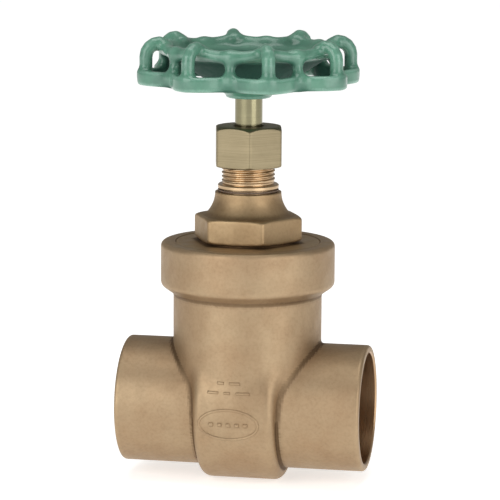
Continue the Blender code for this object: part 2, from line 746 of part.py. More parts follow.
def main():
    clear_scene()
    shop = Workshop()
    shop.joint_empty("stem_turn")
    shop.joint_empty("gate_lift")
    make_body(shop)
    make_seats(shop)
    make_gate(shop)
    make_bonnet(shop)
    make_stuffing_box(shop)
    make_packing_nut(shop)
    make_stem(shop)
    make_handwheel(shop)
    make_wheel_fasteners(shop)


main()
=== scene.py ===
"""The looks of the bronze gate valve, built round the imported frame.

Cast pieces are modelled as distance fields, so that every joint has its foundry fillet, and are
meshed with OpenVDB. Turned pieces are lathed outlines, with real helical threads. Lengths are in
millimetres until a mesh is made, and the frame's axes are kept: X along the pipe, Z up the stem.
"""

import math

import bmesh
import bpy
import numpy as np
import openvdb
from mathutils import Matrix, Vector


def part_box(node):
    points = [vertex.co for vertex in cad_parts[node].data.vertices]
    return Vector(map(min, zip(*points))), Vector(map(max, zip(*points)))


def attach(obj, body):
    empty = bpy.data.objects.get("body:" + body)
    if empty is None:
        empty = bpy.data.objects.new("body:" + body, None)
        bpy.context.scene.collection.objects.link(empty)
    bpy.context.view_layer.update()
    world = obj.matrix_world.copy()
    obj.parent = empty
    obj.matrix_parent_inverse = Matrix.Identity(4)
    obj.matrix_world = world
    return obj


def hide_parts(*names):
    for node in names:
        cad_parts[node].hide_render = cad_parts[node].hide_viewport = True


MM = 0.001
GAP = 0.3

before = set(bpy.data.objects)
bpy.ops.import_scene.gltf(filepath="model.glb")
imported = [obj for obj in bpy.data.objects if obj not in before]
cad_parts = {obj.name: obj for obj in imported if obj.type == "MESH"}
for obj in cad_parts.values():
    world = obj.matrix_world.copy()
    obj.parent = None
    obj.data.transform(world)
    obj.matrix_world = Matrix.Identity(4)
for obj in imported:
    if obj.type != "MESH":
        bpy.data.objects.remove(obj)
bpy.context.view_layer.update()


# ---------------------------------------------------------------- sizes


def node_size(node):
    """Lowest and highest corners of a CAD node in millimetres."""
    low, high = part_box(node)
    return low / MM, high / MM


BODY_LOW, BODY_HIGH = node_size("body")
NUT_LOW, NUT_HIGH = node_size("packing_nut")
STEM_LOW, STEM_HIGH = node_size("stem")
WHEEL_LOW, WHEEL_HIGH = node_size("handwheel")

HALF_LENGTH = BODY_HIGH.x
COLLAR_RADIUS = BODY_HIGH.y
COLLAR_TOP = BODY_HIGH.z
BELLY_RADIUS = -BODY_LOW.z
SOCKET_RADIUS = 23.5
CUP_RADIUS = 20.7
CUP_STOP = HALF_LENGTH - 27.7
PORT_RADIUS = 18.6
CHAMBER_RADIUS = 27.6
CHAMBER_FOOT = -1.3
CHAMBER_BORE = 23.6
COLLAR_BEVEL = (42.0, 45.4)
COLLAR_THREAD_RADIUS = 26.9
LEDGE = 45.9
SHOULDER = 27.0
BELLY_HALF_WIDTH = 15.2
BELLY_BORE = 24.3
SLOT_HALF_WIDTH = 11.4
SLOT_RADIUS = 24.1
SEAT_POCKET = (21.3, 14.7)
SLOT_FOOT = -0.7
GUIDE_HALF_WIDTH = 2.1
GUIDE_INNER = 18.8
GUIDE_MIDDLE, GUIDE_HALF_HEIGHT = 18.0, 26.0
TAPER = math.radians(5)

EDGES = {"chamber": 1.2, "belly": 3.4, "socket": 1.2, "collar": 1.8}
FILLETS = {"belly": 3.0, "socket": 1.0, "collar": 0.8}
CREASE_REACH = 1.2
WELD_DISTANCE = 1e-6


# ---------------------------------------------------------------- distance fields


def smooth_union(a, b, blend):
    """Both fields as one, with a fillet about as wide as blend where they meet."""
    overlap = np.maximum(blend - np.abs(a - b), 0) / blend
    return np.minimum(a, b) - overlap * overlap * blend / 4


def smooth_cut(a, b, blend):
    """What a and b share, with its edges rounded over."""
    return -smooth_union(-a, -b, blend)


def rounded_slab(across, along, reach, low, high, edge):
    """A round bar or plate of that reach and height, by its half section, with rounded edges."""
    past_side = across - (reach - edge)
    past_end = np.abs(along - (low + high) / 2) - ((high - low) / 2 - edge)
    outside = np.hypot(np.maximum(past_side, 0), np.maximum(past_end, 0))
    return outside + np.minimum(np.maximum(past_side, past_end), 0) - edge


def bar(x, y, z, start, end, radius):
    """A round bar with ball ends."""
    start, end = np.array(start, float), np.array(end, float)
    along = end - start
    share = (
        (x - start[0]) * along[0] + (y - start[1]) * along[1] + (z - start[2]) * along[2]
    ) / along.dot(along)
    share = np.clip(share, 0, 1)
    return (
        np.sqrt(
            (x - start[0] - share * along[0]) ** 2
            + (y - start[1] - share * along[1]) ** 2
            + (z - start[2] - share * along[2]) ** 2
        )
        - radius
    )


def hexagon(x, y, flats, turned, arris):
    """A hexagonal bar by its distance across flats; arris rounds its corners."""
    field = None
    for side in range(6):
        angle = turned + math.radians(60 * side)
        face = x * math.cos(angle) + y * math.sin(angle) - flats / 2
        field = face if field is None else smooth_cut(field, face, arris)
    return field


def cone_cut(radius, z, at_radius, at_z, slope, upward):
    """The inside of a cone through (at_radius, at_z); slope is its fall for each step outward."""
    way = 1 if upward else -1
    return (way * (z - at_z) + slope * (radius - at_radius)) / math.hypot(1, slope)


# ---------------------------------------------------------------- meshes


def new_object(name, vertices, faces, smooth_angle=35):
    """An object from vertices in millimetres."""
    mesh = bpy.data.meshes.new(name)
    mesh.from_pydata([tuple(v) for v in np.asarray(vertices) * MM], [], [tuple(f) for f in faces])
    obj = bpy.data.objects.new(name, mesh)
    bpy.context.scene.collection.objects.link(obj)
    finish_shading(obj, smooth_angle)
    return obj


def finish_shading(obj, smooth_angle=35):
    """Turns the faces outward and shades them smooth, but for edges sharper than smooth_angle."""
    made = bmesh.new()
    made.from_mesh(obj.data)
    bmesh.ops.recalc_face_normals(made, faces=made.faces)
    made.to_mesh(obj.data)
    made.free()
    obj.data.shade_smooth()
    obj.data.set_sharp_from_angle(angle=math.radians(smooth_angle))


def cast(name, low, high, cell, field):
    """Meshes a distance field, and keeps how hollow the surface is in the attribute "crease"."""
    margin = 5 * cell
    axes = [np.arange(a - margin, b + margin + cell / 2, cell) for a, b in zip(low, high)]
    x, y, z = np.meshgrid(*axes, indexing="ij", sparse=False)
    values = field(x, y, z).astype(np.float32)
    grid = openvdb.FloatGrid(float(values.max()))
    grid.copyFromArray(values)
    points, quads = grid.convertToQuads(isovalue=0.0)
    start = np.array([axis[0] for axis in axes])
    obj = new_object(name, points * cell + start, quads, smooth_angle=180)
    store_crease(obj, values, points, cell)
    return obj


def store_crease(obj, values, points, cell):
    """Hollows are positive and edges negative: the field's mean nearby, less its own value."""
    step = max(1, round(CREASE_REACH / cell))
    places = np.rint(points).astype(int)
    total = np.zeros(len(points))
    for axis in range(3):
        for way in (-step, step):
            moved = places.copy()
            moved[:, axis] = np.clip(moved[:, axis] + way, 0, values.shape[axis] - 1)
            total += values[moved[:, 0], moved[:, 1], moved[:, 2]]
    own = values[places[:, 0], places[:, 1], places[:, 2]]
    bend = (total / 6 - own) / CREASE_REACH
    attribute = obj.data.attributes.new("crease", "FLOAT", "POINT")
    attribute.data.foreach_set("value", np.clip(-bend * 4, -1, 1).astype(np.float32))


def lathe(name, outline, sides=96, along_x=False, shape=None):
    """Turns a closed (radius, height) outline; shape may change each radius by angle and height."""
    outline = np.array(outline, float)
    count = len(outline)
    angles = np.arange(sides) * 2 * math.pi / sides
    radii = np.repeat(outline[:, 0][:, None], sides, axis=1)
    heights = np.repeat(outline[:, 1][:, None], sides, axis=1)
    if shape is not None:
        radii = shape(radii, angles[None, :], heights)
    around = np.stack([radii * np.cos(angles), radii * np.sin(angles), heights], axis=2)
    if along_x:
        around = around[:, :, [2, 0, 1]]
    vertices = around.reshape(-1, 3)
    faces = []
    for i in range(count):
        after = (i + 1) % count
        if outline[i, 0] == 0 and outline[after, 0] == 0:
            continue
        for j in range(sides):
            k = (j + 1) % sides
            corners = [i * sides + j, i * sides + k, after * sides + k, after * sides + j]
            faces.append(corners)
    obj = new_object(name, vertices, faces)
    weld(obj)
    finish_shading(obj)
    return obj


def weld(obj):
    """Joins the points where an outline meets the axis."""
    made = bmesh.new()
    made.from_mesh(obj.data)
    bmesh.ops.remove_doubles(made, verts=made.verts, dist=WELD_DISTANCE)
    made.to_mesh(obj.data)
    made.free()


def fine_steps(outline, low, high, step):
    """Adds points to an outline's upright stretches between two heights, for cutting a thread."""
    result = []
    for (r0, z0), (r1, z1) in zip(outline, outline[1:] + outline[:1]):
        result.append((r0, z0))
        inside = low - step < min(z0, z1) and max(z0, z1) < high + step
        if r0 == r1 and inside:
            pieces = max(1, int(abs(z1 - z0) / step))
            result += [(r0, z0 + (z1 - z0) * i / pieces) for i in range(1, pieces)]
    return result


def thread(low, high, pitch, depth, left_hand=False):
    """Returns the shape call that cuts a helical thread between two heights."""

    def cut(radii, angles, heights):
        turns = angles / (2 * math.pi) * (-1 if left_hand else 1)
        phase = (heights / pitch - turns) % 1.0
        profile = np.clip(np.abs(2 * phase - 1) * 1.5 - 0.25, 0, 1)
        fade = np.clip((heights - low) / (0.6 * pitch), 0, 1)
        fade = fade * np.clip((high - heights) / (0.6 * pitch), 0, 1)
        return radii - depth * profile * fade

    return cut


def cut_out(obj, other):
    """Cuts the other object out of this one and removes it."""
    modifier = obj.modifiers.new(other.name, "BOOLEAN")
    modifier.operation = "DIFFERENCE"
    modifier.object = other
    modifier.solver = "EXACT"
    graph = bpy.context.evaluated_depsgraph_get()
    made = bpy.data.meshes.new_from_object(obj.evaluated_get(graph))
    obj.modifiers.clear()
    obj.data = made
    bpy.data.objects.remove(other)


def rounded_corners(outline, radius, steps=3):
    """Rounds every corner of a closed outline that turns by more than a little."""
    result = []
    count = len(outline)
    for i in range(count):
        before, corner, after = (np.array(outline[(i + k) % count], float) for k in (-1, 0, 1))
        to_before, to_after = before - corner, after - corner
        reach = min(radius, np.linalg.norm(to_before) / 2.2, np.linalg.norm(to_after) / 2.2)
        if corner[0] == 0 or reach < 0.02:
            result.append(tuple(corner))
            continue
        start = corner + to_before / np.linalg.norm(to_before) * reach
        end = corner + to_after / np.linalg.norm(to_after) * reach
        for k in range(steps + 1):
            t = k / steps
            point = (1 - t) ** 2 * start + 2 * t * (1 - t) * corner + t * t * end
            result.append(tuple(point))
    return result


def ring(inner, outer, low, high, edge):
    """The outline of a washer with rounded edges."""
    return rounded_corners([(outer, high), (outer, low), (inner, low), (inner, high)], edge)


# ---------------------------------------------------------------- materials


class Finish:
    """A material and short calls for its nodes."""

    def __init__(self, name, metallic=0.0, **constants):
        self.material = bpy.data.materials.new(name)
        self.material.use_nodes = True
        self.nodes = self.material.node_tree.nodes
        self.links = self.material.node_tree.links
        self.shader = self.nodes["Principled BSDF"]
        self.shader.inputs["Metallic"].default_value = metallic
        for socket, value in constants.items():
            self.shader.inputs[socket.replace("_", " ")].default_value = value
        self.place = self.nodes.new("ShaderNodeTexCoord").outputs["Object"]
        self.height = None

    def noise(self, size, detail=3.0, stretch=None):
        """Noise whose features are about size millimetres across."""
        node = self.nodes.new("ShaderNodeTexNoise")
        node.inputs["Scale"].default_value = 1 / (size * MM)
        node.inputs["Detail"].default_value = detail
        node.inputs["Roughness"].default_value = 0.55
        place = self.place
        if stretch is not None:
            mapping = self.nodes.new("ShaderNodeMapping")
            mapping.inputs["Scale"].default_value = stretch
            self.links.new(self.place, mapping.inputs["Vector"])
            place = mapping.outputs["Vector"]
        self.links.new(place, node.inputs["Vector"])
        return node.outputs["Fac"]

    def attribute(self, name):
        node = self.nodes.new("ShaderNodeAttribute")
        node.attribute_name = name
        return node.outputs["Fac"]

    def math(self, operation, first, second):
        node = self.nodes.new("ShaderNodeMath")
        node.operation = operation
        for socket, value in zip(node.inputs, (first, second)):
            if isinstance(value, (int, float)):
                socket.default_value = value
            else:
                self.links.new(value, socket)
        return node.outputs["Value"]

    def span(self, value, low, high, to_low=0.0, to_high=1.0):
        """Maps low to to_low and high to to_high, and holds the value between them."""
        node = self.nodes.new("ShaderNodeMapRange")
        for socket, number in zip(node.inputs[1:5], (low, high, to_low, to_high)):
            socket.default_value = number
        self.links.new(value, node.inputs["Value"])
        return node.outputs["Result"]

    def mix(self, share, first, second):
        """Goes from the first colour to the second as share goes from 0 to 1."""
        node = self.nodes.new("ShaderNodeMix")
        node.data_type = "RGBA"
        sockets = {s.name: s for s in node.inputs if s.type == "RGBA"}
        self.links.new(share, node.inputs["Factor"])
        for name, colour in (("A", first), ("B", second)):
            if isinstance(colour, tuple):
                sockets[name].default_value = (*colour, 1)
            else:
                self.links.new(colour, sockets[name])
        return [s for s in node.outputs if s.type == "RGBA"][0]

    def colour(self, value):
        self.links.new(value, self.shader.inputs["Base Color"])

    def roughness(self, value):
        self.links.new(value, self.shader.inputs["Roughness"])

    def bump(self, value, depth, strength):
        """Adds one more layer of relief, depth in millimetres."""
        node = self.nodes.new("ShaderNodeBump")
        node.inputs["Strength"].default_value = strength
        node.inputs["Distance"].default_value = depth * MM
        self.links.new(value, node.inputs["Height"])
        if self.height is not None:
            self.links.new(self.height, node.inputs["Normal"])
        self.height = node.outputs["Normal"]
        self.links.new(self.height, self.shader.inputs["Normal"])


def cast_bronze(name, light, warm, dark, grain):
    """Blasted bronze casting: soft blotches, painted shade in creases, painted highlight on edges,
    sandy grain.
    """
    finish = Finish(name, metallic=0.92)
    blotches = finish.span(finish.noise(14, detail=4), 0.35, 0.68)
    specks = finish.span(finish.noise(1.1, detail=3), 0.42, 0.75)
    tone = finish.mix(blotches, light, warm)
    tone = finish.mix(finish.math("MULTIPLY", specks, 0.16), tone, dark)
    crease = finish.attribute("crease")
    # Painted shade: the hollows and creases go towards the dark colour, and a little rougher.
    hollow = finish.span(crease, 0.04, 0.6, 0.0, 0.85)
    tone = finish.mix(hollow, tone, dark)
    # Painted highlight: convex edges go towards a lighter copy of the base colour.
    painted_edge_highlight = finish.span(crease, -0.7, -0.15, 0.3, 0.0)
    tone = finish.mix(painted_edge_highlight, tone, tuple(min(1.0, c * 1.2) for c in light))
    finish.colour(tone)
    sheen = finish.span(finish.noise(5, detail=5), 0.3, 0.7, 0.44, 0.58)
    finish.roughness(finish.math("ADD", sheen, finish.math("MULTIPLY", hollow, 0.15)))
    finish.bump(finish.noise(7, detail=2), 0.25, 0.5)
    finish.bump(finish.noise(0.55, detail=4), grain, 0.8)
    return finish.material


def turned_metal(name, light, dark, roughness, along_x=False, marks=0.012):
    """Machined metal with fine tool marks round its axis."""
    finish = Finish(name, metallic=1.0)
    stretch = (6.0, 0.05, 0.05) if along_x else (0.05, 0.05, 6.0)
    lines = finish.noise(1.2, detail=4, stretch=stretch)
    clouds = finish.span(finish.noise(6, detail=3), 0.35, 0.7)
    tone = finish.mix(clouds, light, tuple(c * 0.9 for c in light))
    tone = finish.mix(finish.span(lines, 0.45, 0.8, 0.0, 0.4), tone, dark)
    finish.colour(tone)
    finish.roughness(finish.span(lines, 0.3, 0.7, roughness * 0.85, roughness * 1.25))
    finish.bump(lines, marks, 0.6)
    return finish.material


def enamel(name, base, deep, pale, shade):
    """Thick glossy paint over a die casting, with painted highlight on edges, painted shade in
    corners, and painted shade under the dish, where it is also dull.
    """
    finish = Finish(name, Coat_Roughness=0.1)
    shade_mask = finish.attribute("shade_mask")
    clouds = finish.span(finish.noise(9, detail=3), 0.35, 0.68)
    tone = finish.mix(finish.math("MULTIPLY", clouds, 0.5), base, deep)
    crease = finish.attribute("crease")
    # Painted shade in corners and creases.
    tone = finish.mix(finish.span(crease, 0.05, 0.8, 0.0, 0.8), tone, deep)
    # Painted highlight along convex edges.
    tone = finish.mix(finish.span(crease, -0.8, -0.25, 0.5, 0.0), tone, pale)
    # Painted shade under the dish and inside the rim, towards the shade colour.
    tone = finish.mix(finish.math("MULTIPLY", shade_mask, 0.95), tone, shade)
    finish.colour(tone)
    gloss = finish.span(finish.noise(3, detail=4), 0.3, 0.7, 0.28, 0.42)
    finish.roughness(finish.math("ADD", gloss, finish.math("MULTIPLY", shade_mask, 0.35)))
    coat = finish.span(shade_mask, 0.0, 0.6, 0.5, 0.0)
    finish.links.new(coat, finish.shader.inputs["Coat Weight"])
    specular = finish.span(shade_mask, 0.0, 0.6, 0.5, 0.12)
    finish.links.new(specular, finish.shader.inputs["Specular IOR Level"])
    finish.bump(finish.noise(2.2, detail=2), 0.09, 0.6)
    finish.bump(finish.noise(0.5, detail=2), 0.012, 0.6)
    return finish.material


def packing(name, light, dark, pitch):
    """Plaited packing: a diagonal weave of soft strands."""
    finish = Finish(name)
    weave = finish.nodes.new("ShaderNodeTexVoronoi")
    weave.inputs["Scale"].default_value = 1 / (pitch * MM)
    finish.links.new(finish.place, weave.inputs["Vector"])
    strands = weave.outputs["Distance"]
    finish.colour(finish.mix(finish.span(strands, 0.1, 0.6), light, dark))
    finish.roughness(finish.span(strands, 0.0, 0.7, 0.45, 0.75))
    finish.bump(strands, -0.12, 0.8)
    finish.bump(finish.noise(0.3), 0.02, 0.6)
    return finish.material


# ---------------------------------------------------------------- cast pieces


def body_outside(x, y, z):
    """The outside: round chamber and collar about the stem, belly and sockets about the pipe."""
    about_stem, about_pipe = np.hypot(x, y), np.hypot(y, z)
    chamber = rounded_slab(
        about_stem, z, CHAMBER_RADIUS, CHAMBER_FOOT, COLLAR_TOP, EDGES["chamber"]
    )
    half = BELLY_HALF_WIDTH
    belly = rounded_slab(about_pipe, x, BELLY_RADIUS, -half, half, EDGES["belly"])
    half = HALF_LENGTH
    sockets = rounded_slab(about_pipe, x, SOCKET_RADIUS, -half, half, EDGES["socket"])
    hidden_foot = COLLAR_BEVEL[0] - 4
    collar = rounded_slab(
        about_stem, z, COLLAR_RADIUS, hidden_foot, COLLAR_TOP, EDGES["collar"]
    )
    fall = (COLLAR_BEVEL[1] - COLLAR_BEVEL[0], COLLAR_RADIUS - CHAMBER_RADIUS)
    bevel = (about_stem - CHAMBER_RADIUS) * fall[0] - (z - COLLAR_BEVEL[0]) * fall[1]
    collar = smooth_cut(collar, bevel / math.hypot(*fall), 1.0)
    casing = smooth_union(chamber, belly, FILLETS["belly"])
    casing = smooth_union(casing, sockets, FILLETS["socket"])
    return smooth_union(casing, collar, FILLETS["collar"])


def body_inside(x, y, z):
    """The cored hollows: the belly, the gate's slot and the chamber, less the two guides."""
    about_stem, about_pipe = np.hypot(x, y), np.hypot(y, z)
    belly = rounded_slab(about_pipe, x, BELLY_BORE, -SLOT_HALF_WIDTH, SLOT_HALF_WIDTH, 0.8)
    slot = smooth_cut(
        rounded_slab(about_stem, z, SLOT_RADIUS, SLOT_FOOT, SHOULDER + 2, 0.8),
        np.abs(x) - SLOT_HALF_WIDTH,
        2.0,
    )
    chamber = rounded_slab(about_stem, z, CHAMBER_BORE, SHOULDER, COLLAR_TOP + 4, 1.5)
    guides = np.maximum(np.abs(x) - GUIDE_HALF_WIDTH, GUIDE_INNER - np.abs(y))
    guides = np.maximum(guides, np.abs(z - GUIDE_MIDDLE) - GUIDE_HALF_HEIGHT)
    return np.maximum(np.minimum(np.minimum(slot, chamber), belly), -guides)


def make_body():
    """The casting, with both cups and the collar's bore turned out of it."""
    body = cast(
        "valve_body",
        BODY_LOW,
        BODY_HIGH,
        0.45,
        lambda x, y, z: np.maximum(body_outside(x, y, z), -body_inside(x, y, z)),
    )
    over = 2.0
    lead_in, chamfer = 0.4, 0.15
    pocket_radius, pocket_x = SEAT_POCKET
    passage = [
        (0, HALF_LENGTH + over),
        (CUP_RADIUS + lead_in + over, HALF_LENGTH + over),
        (CUP_RADIUS + lead_in, HALF_LENGTH),
        (CUP_RADIUS, HALF_LENGTH - 0.5),
        (CUP_RADIUS, CUP_STOP),
        (PORT_RADIUS, CUP_STOP),
        (PORT_RADIUS, pocket_x),
        (pocket_radius, pocket_x),
        (pocket_radius, SLOT_HALF_WIDTH - 1),
        (0, SLOT_HALF_WIDTH - 1),
    ]
    for side in (1, -1):
        outline = passage if side > 0 else [(r, -z) for r, z in reversed(passage)]
        cut_out(body, lathe(f"passage_{side}", outline, 128, along_x=True))
    low, high = LEDGE, COLLAR_TOP + over
    bore = [
        (0, high),
        (COLLAR_THREAD_RADIUS + chamfer + over, high),
        (COLLAR_THREAD_RADIUS + chamfer, COLLAR_TOP),
        (COLLAR_THREAD_RADIUS, COLLAR_TOP - chamfer),
        (COLLAR_THREAD_RADIUS, low),
        (0, low),
    ]
    cut_out(body, lathe("collar_bore", bore, 128))
    finish_shading(body, 38)
    return body


def finish_bore(body, material):
    """Gives the faces inside the cups and ports, which look in at the pipe axis, their finish."""
    body.data.materials.append(material)
    for face in body.data.polygons:
        centre, normal = face.center / MM, face.normal
        about_pipe = math.hypot(centre.y, centre.z)
        inward = centre.y * normal.y + centre.z * normal.z < 0
        if abs(centre.x) > SLOT_HALF_WIDTH and about_pipe < CUP_RADIUS + 0.3 and (
            inward or about_pipe < CUP_RADIUS - 0.1
        ):
            face.material_index = 1


BONNET_LOW, BONNET_HIGH = node_size("bonnet")
BONNET_FLATS = 36.0
BONNET_TURN = math.radians(26)
BONNET_HEX = (62.1, 71.2)
NECK_RADIUS, NECK_SPREAD, NECK_HEIGHT, NECK_POWER = 12.3, 4.6, 9.6, 2.2
NECK_FOOT_RADIUS, NECK_FOOT = 16.5, 61.5
SKIRT_RADIUS, SKIRT_PITCH, SKIRT_THREAD_TOP = 26.75, 2.0, 59.5
BONNET_BORE_HEIGHTS = [BONNET_LOW.z - 5, 51, 57, 62, 71.99, 72.0, 73.39, 73.4, BONNET_HIGH.z + 5]
BONNET_BORE_RADII = [23.0, 23.0, 19.0, 9.2, 9.2, 5.4, 5.4, 10.8, 10.8]


def bonnet_hexagon(x, y, z, radius):
    low, high = BONNET_HEX
    corner = BONNET_FLATS / 2 / math.cos(math.pi / 6)
    solid = hexagon(x, y, BONNET_FLATS, BONNET_TURN, 0.9)
    solid = smooth_cut(solid, cone_cut(radius, z, corner - 1.5, high, 0.55, True), 0.6)
    solid = smooth_cut(solid, cone_cut(radius, z, corner - 1.2, low, 0.6, False), 0.6)
    return smooth_cut(solid, np.abs(z - (low + high) / 2) - (high - low) / 2, 0.6)


def bonnet_neck(z, radius):
    """The flared neck over the hexagon, and a narrower foot under it."""
    top, middle = BONNET_HIGH.z, 70.5
    flare = np.clip((top - z) / NECK_HEIGHT, 0, 1) ** NECK_POWER
    neck_radius = NECK_RADIUS + NECK_SPREAD * flare
    neck = np.maximum((radius - neck_radius) * 0.9, np.abs(z - middle) - (top - middle))
    foot = np.hypot(np.maximum(radius - NECK_FOOT_RADIUS, 0), NECK_FOOT - z)
    return np.where(z < NECK_FOOT, foot, neck)


def bonnet_skirt(x, y, z, radius):
    """The skirt in the body's collar, with its thread."""
    skirt = rounded_slab(radius, z, SKIRT_RADIUS, BONNET_LOW.z, COLLAR_TOP - 0.1, 0.25)
    turns = np.arctan2(y, x) / (2 * math.pi)
    ridge = np.abs(2 * ((z / SKIRT_PITCH - turns) % 1.0) - 1)
    return skirt + np.where(z < SKIRT_THREAD_TOP, 0.7 * ridge, 0.0)


def bonnet_field(x, y, z):
    radius = np.hypot(x, y)
    solid = smooth_union(bonnet_hexagon(x, y, z, radius), bonnet_neck(z, radius), 1.4)
    flange = rounded_slab(radius, z, 17.0, 57.0, 63.5, 0.6)
    solid = smooth_union(solid, flange, 0.6)
    solid = smooth_union(solid, bonnet_skirt(x, y, z, radius), 0.8)
    bore = np.interp(z, BONNET_BORE_HEIGHTS, BONNET_BORE_RADII)
    return np.maximum(solid, (bore - radius) * 0.8)


def make_bonnet():
    return cast("bonnet_casting", BONNET_LOW, BONNET_HIGH, 0.4, bonnet_field)


def nut_field(flats, low, high, turned, chamfers, bore, ceiling=None, stem_hole=0.0, arris=0.7):
    """A hexagon nut with turned chamfers; a ceiling closes it to the stem hole above."""

    def field(x, y, z):
        radius = np.hypot(x, y)
        corner = flats / 2 / math.cos(math.pi / 6)
        solid = hexagon(x, y, flats, turned, arris)
        solid = smooth_cut(solid, np.abs(z - (low + high) / 2) - (high - low) / 2, arris / 2)
        bottom, top = (corner - chamfer for chamfer in chamfers)
        slope = 0.6
        solid = smooth_cut(solid, cone_cut(radius, z, top, high, slope, True), arris / 2)
        solid = smooth_cut(solid, cone_cut(radius, z, bottom, low, slope, False), arris / 2)
        hole = radius - bore
        if ceiling is not None:
            hole = np.maximum(hole, z - ceiling)
            hole = np.minimum(hole, radius - stem_hole)
        return smooth_cut(solid, -hole, 0.3)

    return field


def make_packing_nut():
    low, high = NUT_LOW.z, NUT_HIGH.z
    flats, turned, roof = 24.0, math.radians(13), 2.9
    field = nut_field(
        flats, low, high, turned, (1.2, 2.0), 10.2, ceiling=high - roof, stem_hole=5.6
    )
    return cast("packing_nut_hex", NUT_LOW, NUT_HIGH, 0.25, field)


LOBES = 8
LOBE_TURN = math.radians(21.6)
RIM_BOTTOM = 119.9
TIP_RADIUS, VALLEY_RADIUS = 41.3, 34.6
BAND_HEIGHT, BAND_WALL = 5.4, 3.4
UPPER_RING_RADIUS, UPPER_RING_HEIGHT, UPPER_RING_RISE, UPPER_RING_TUBE = 31.2, 12.4, 1.2, 2.0
STRUT_ROOT = 3.4
TIP_STRUT_RADIUS, TIP_STRUT_INSET = 2.4, 3.05
TIP_BEND_RADIUS, TIP_BEND_HEIGHT = 5.0, 10.25
VALLEY_STRUT_RADIUS, VALLEY_STRUT_INSET = 1.85, 1.75
HUB_RADIUS = 8.4
HUB = (114.8, 122.5)
HUB_SQUARE, HUB_SEAT_RADIUS, HUB_SEAT_TOP = 3.9, 5.4, 115.9
DISH_WALL = 2.6
DISH_RADII = [9.3, 13.0, 20.0, 26.5, 30.6]
DISH_HEIGHTS = [-3.4, -0.3, 4.1, 8.2, 11.1]


def rim_band(radius, folded, up):
    """The lower band, which follows the lobes."""
    swing = (TIP_RADIUS - VALLEY_RADIUS) / 2
    outline = (TIP_RADIUS + VALLEY_RADIUS) / 2 + swing * np.cos(LOBES * folded)
    steepness = swing * LOBES * np.sin(LOBES * folded) / np.maximum(radius, 10)
    off_band = np.abs(radius - (outline - BAND_WALL / 2)) / np.sqrt(1 + steepness**2)
    return rounded_slab(off_band, up, BAND_WALL / 2, 0, BAND_HEIGHT, 1.1)


def upper_ring(radius, folded, up):
    lift = 0.5 + 0.5 * np.cos(LOBES * folded)
    height = up - UPPER_RING_HEIGHT - UPPER_RING_RISE * lift**2
    return np.hypot(radius - UPPER_RING_RADIUS, height) - UPPER_RING_TUBE


def tip_strut(fx, fy, up):
    """Up from the band at a lobe, over in a knuckle and down into the upper ring."""
    foot = TIP_RADIUS - TIP_STRUT_INSET
    route = [(foot, STRUT_ROOT), (foot, TIP_BEND_HEIGHT)]
    for degrees in (22, 45, 68, 90):
        across = TIP_BEND_RADIUS * math.cos(math.radians(degrees))
        rise = TIP_BEND_RADIUS * math.sin(math.radians(degrees))
        route.append((foot - TIP_BEND_RADIUS + across, TIP_BEND_HEIGHT + rise))
    route.append((UPPER_RING_RADIUS - 0.6, UPPER_RING_HEIGHT + UPPER_RING_RISE))
    strut = None
    for (r0, z0), (r1, z1) in zip(route, route[1:]):
        piece = bar(fx, fy, up, (r0, 0, z0), (r1, 0, z1), TIP_STRUT_RADIUS)
        strut = piece if strut is None else np.minimum(strut, piece)
    return strut


def valley_strut(fx, fy, up):
    angle = math.pi / LOBES
    foot = VALLEY_RADIUS - VALLEY_STRUT_INSET
    start = (foot * math.cos(angle), foot * math.sin(angle), STRUT_ROOT)
    top = UPPER_RING_RADIUS
    end = (top * math.cos(angle), top * math.sin(angle), UPPER_RING_HEIGHT)
    return bar(fx, fy, up, start, end, VALLEY_STRUT_RADIUS)


def dish_and_hub(radius, up):
    under = np.interp(radius, DISH_RADII, DISH_HEIGHTS)
    dish = (np.abs(up - under - DISH_WALL / 2) - DISH_WALL / 2) * 0.85
    dish = np.maximum(dish, radius - UPPER_RING_RADIUS)
    hub = rounded_slab(radius, up, HUB_RADIUS, HUB[0] - RIM_BOTTOM, HUB[1] - RIM_BOTTOM, 0.7)
    return smooth_union(dish, hub, 1.6)


def wheel_field(x, y, z):
    """The lobed wheel, folded about each lobe so that one strut of each kind stands for all."""
    radius = np.hypot(x, y)
    angle = np.arctan2(y, x) - LOBE_TURN + math.pi / 2
    lobe = 2 * math.pi / LOBES
    folded = np.abs((angle + lobe / 2) % lobe - lobe / 2)
    fx, fy = radius * np.cos(folded), radius * np.sin(folded)
    up = z - RIM_BOTTOM

    solid = smooth_union(rim_band(radius, folded, up), upper_ring(radius, folded, up), 0.5)
    solid = smooth_union(solid, tip_strut(fx, fy, up), 2.2)
    solid = smooth_union(solid, valley_strut(fx, fy, up), 3.0)
    solid = smooth_union(solid, dish_and_hub(radius, up), 1.6)
    square = np.maximum(np.abs(x + y), np.abs(x - y)) / math.sqrt(2) - HUB_SQUARE
    hole = np.minimum(square, np.maximum(radius - HUB_SEAT_RADIUS, z - HUB_SEAT_TOP))
    solid = np.maximum(solid, np.abs(y) - WHEEL_HIGH[1])
    return np.maximum(solid, -hole)


def make_wheel():
    wheel = cast("handwheel_casting", WHEEL_LOW, WHEEL_HIGH, 0.4, wheel_field)
    store_shelter(wheel)
    return wheel


